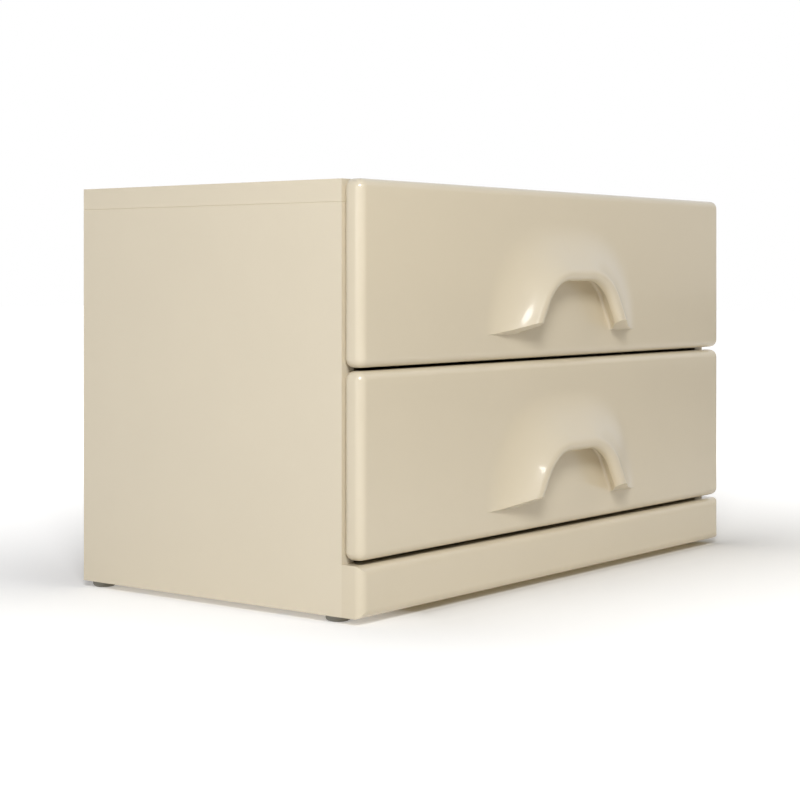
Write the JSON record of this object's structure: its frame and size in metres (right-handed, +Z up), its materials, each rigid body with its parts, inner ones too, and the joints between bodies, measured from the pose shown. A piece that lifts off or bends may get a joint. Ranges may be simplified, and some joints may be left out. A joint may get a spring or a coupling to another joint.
{
  "type": "chest of drawers",
  "caption": "Low wide chest of drawers in cream lacquer; each overlay front carries a moulded hood with an arched finger notch and slides out on ball-bearing runners.",
  "frame": {"origin": "on the floor, in the middle of the width and of the overall depth over the hoods", "axes": "+X to the right seen from the front, +Y to the back, +Z up; the drawers open towards -Y"},
  "size_m": [0.7, 0.406, 0.422],
  "materials": {
    "cream_lacquer": "satin-gloss sprayed lacquer over board",
    "cream_moulding": "gloss sprayed lacquer over a rigid moulding",
    "birch_plywood": "sanded and clear lacquered",
    "hardboard": "smooth, painted",
    "beech": "raw fluted dowel",
    "runner_steel": "zinc plated, roll formed",
    "zinc_steel": "bright zinc plated",
    "zinc_alloy": "die cast, tumbled",
    "brass": "turned",
    "ball_steel": "polished",
    "grey_plastic": "matte moulded",
    "black_rubber": "matte moulded"
  },
  "bodies": {
    "case": {"top_panel": "cream_lacquer", "left_side_panel": "cream_lacquer", "right_side_panel": "cream_lacquer", "bottom_panel": "cream_lacquer", "back_panel": "hardboard", "back_panel_screws": "zinc_steel", "plinth_front": "cream_moulding", "plinth_brackets": "zinc_steel", "plinth_bracket_screws": "zinc_steel", "case_dowels": "beech", "top_cam_bolts": "zinc_steel", "top_cam_locks": "zinc_alloy", "bottom_panel_screws": "zinc_steel", "foot_glides": "grey_plastic", "glide_pins": "zinc_steel", "cabinet_runner_members": "runner_steel", "cabinet_runner_screws": "zinc_steel", "runner_buffers": "black_rubber"},
    "lower_drawer": {"lower_front_moulding": "cream_moulding", "lower_front_inserts": "brass", "lower_front_screws": "zinc_steel", "lower_box_front": "birch_plywood", "lower_box_left_side": "birch_plywood", "lower_box_right_side": "birch_plywood", "lower_box_back": "birch_plywood", "lower_box_bottom": "birch_plywood", "lower_box_dowels": "beech", "lower_drawer_runner_members": "runner_steel", "lower_drawer_runner_screws": "zinc_steel"},
    "lower_mid_runners": {"lower_mid_runner_members": "runner_steel"},
    "lower_outer_cages": {"lower_outer_ball_cages": "zinc_steel", "lower_outer_balls": "ball_steel"},
    "lower_inner_cages": {"lower_inner_ball_cages": "zinc_steel", "lower_inner_balls": "ball_steel"},
    "upper_drawer": {"upper_front_moulding": "cream_moulding", "upper_front_inserts": "brass", "upper_front_screws": "zinc_steel", "upper_box_front": "birch_plywood", "upper_box_left_side": "birch_plywood", "upper_box_right_side": "birch_plywood", "upper_box_back": "birch_plywood", "upper_box_bottom": "birch_plywood", "upper_box_dowels": "beech", "upper_drawer_runner_members": "runner_steel", "upper_drawer_runner_screws": "zinc_steel"},
    "upper_mid_runners": {"upper_mid_runner_members": "runner_steel"},
    "upper_outer_cages": {"upper_outer_ball_cages": "zinc_steel", "upper_outer_balls": "ball_steel"},
    "upper_inner_cages": {"upper_inner_ball_cages": "zinc_steel", "upper_inner_balls": "ball_steel"}
  },
  "joints": [
    {"name": "lower_drawer_slide", "type": "slide", "parent": "case", "child": "lower_drawer", "axis": [0, -1, 0], "range_m": [0, 0.28]},
    {"name": "lower_mid_runners_slide", "type": "slide", "parent": "case", "child": "lower_mid_runners", "axis": [0, -1, 0], "range_m": [0, 0.14]},
    {"name": "lower_outer_cages_slide", "type": "slide", "parent": "case", "child": "lower_outer_cages", "axis": [0, -1, 0], "range_m": [0, 0.07]},
    {"name": "lower_inner_cages_slide", "type": "slide", "parent": "case", "child": "lower_inner_cages", "axis": [0, -1, 0], "range_m": [0, 0.21]},
    {"name": "upper_drawer_slide", "type": "slide", "parent": "case", "child": "upper_drawer", "axis": [0, -1, 0], "range_m": [0, 0.28]},
    {"name": "upper_mid_runners_slide", "type": "slide", "parent": "case", "child": "upper_mid_runners", "axis": [0, -1, 0], "range_m": [0, 0.14]},
    {"name": "upper_outer_cages_slide", "type": "slide", "parent": "case", "child": "upper_outer_cages", "axis": [0, -1, 0], "range_m": [0, 0.07]},
    {"name": "upper_inner_cages_slide", "type": "slide", "parent": "case", "child": "upper_inner_cages", "axis": [0, -1, 0], "range_m": [0, 0.21]}
  ],
  "couplings": [
    {"joint": "lower_mid_runners_slide", "follows": "lower_drawer_slide", "ratio": 0.5},
    {"joint": "lower_outer_cages_slide", "follows": "lower_drawer_slide", "ratio": 0.25},
    {"joint": "lower_inner_cages_slide", "follows": "lower_drawer_slide", "ratio": 0.75},
    {"joint": "upper_mid_runners_slide", "follows": "upper_drawer_slide", "ratio": 0.5},
    {"joint": "upper_outer_cages_slide", "follows": "upper_drawer_slide", "ratio": 0.25},
    {"joint": "upper_inner_cages_slide", "follows": "upper_drawer_slide", "ratio": 0.75}
  ]
}
